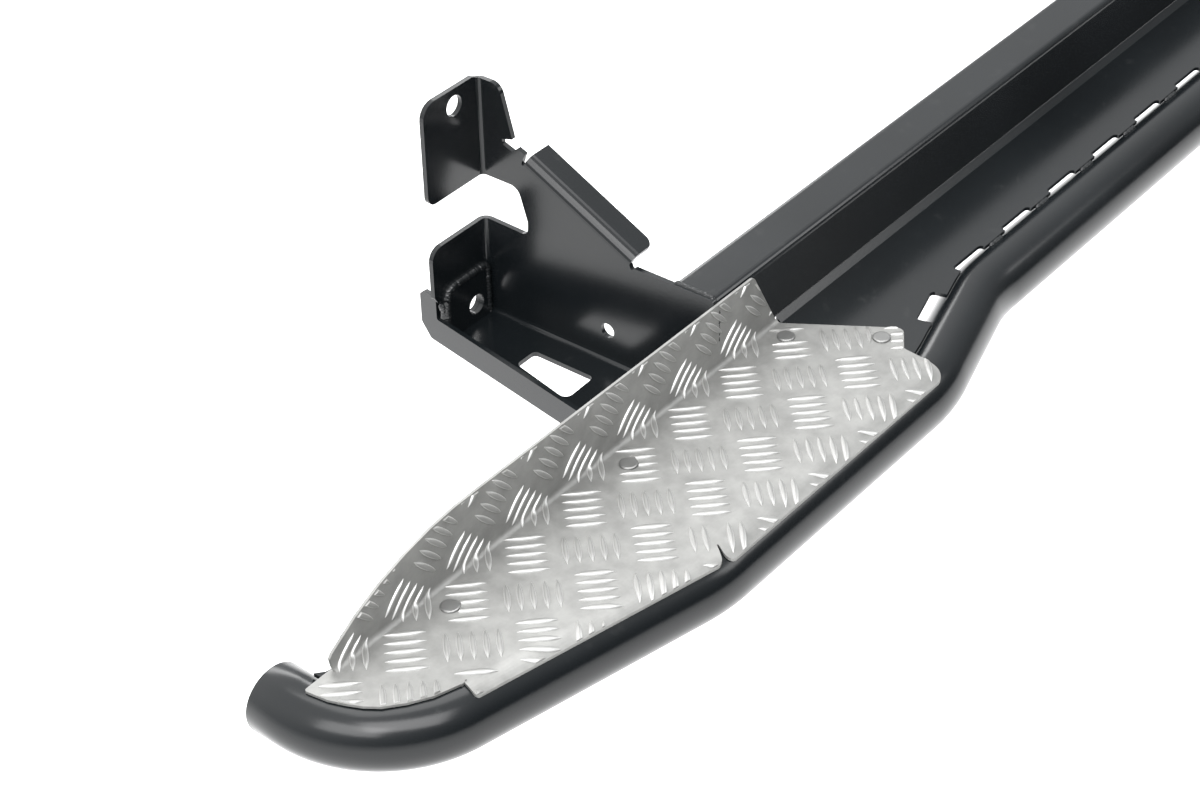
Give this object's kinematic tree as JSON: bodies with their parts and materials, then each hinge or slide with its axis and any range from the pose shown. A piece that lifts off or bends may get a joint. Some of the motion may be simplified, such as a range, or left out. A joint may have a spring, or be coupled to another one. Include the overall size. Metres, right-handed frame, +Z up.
{
  "type": "running board",
  "caption": "Vehicle side step: bent round tube, folded deck and box rail, with a riveted five-bar tread plate at the wide end and folded frame brackets.",
  "frame": {"origin": "centre of the frame side of the middle bracket's upper flange, on the vehicle frame's outer face", "axes": "+X along the board from the wide tread-plate end to the far end, +Y toward the vehicle, +Z up"},
  "size_m": [2.0532, 0.39, 0.2278],
  "materials": {
    "black_powder_coat": "satin black powder coat on steel",
    "bare_aluminium": "mill finish with bright raised bars",
    "rivet_aluminium": "dull, drawn"
  },
  "bodies": {
    "root": {"outer_tube": "black_powder_coat", "rear_tube_cap": "black_powder_coat", "front_tube_cap": "black_powder_coat", "inner_rail": "black_powder_coat", "rail_front_cap": "black_powder_coat", "deck_plate": "black_powder_coat", "bracket_plate_rear": "black_powder_coat", "bracket_strip_rear": "black_powder_coat", "bracket_doubler_rear": "black_powder_coat", "bracket_plate_middle": "black_powder_coat", "bracket_strip_middle": "black_powder_coat", "bracket_doubler_middle": "black_powder_coat", "bracket_plate_front": "black_powder_coat", "bracket_strip_front": "black_powder_coat", "bracket_doubler_front": "black_powder_coat", "tread_plate": "bare_aluminium", "tread_rivet_1": "rivet_aluminium", "tread_rivet_2": "rivet_aluminium", "tread_rivet_3": "rivet_aluminium", "tread_rivet_4": "rivet_aluminium"}
  },
  "joints": []
}
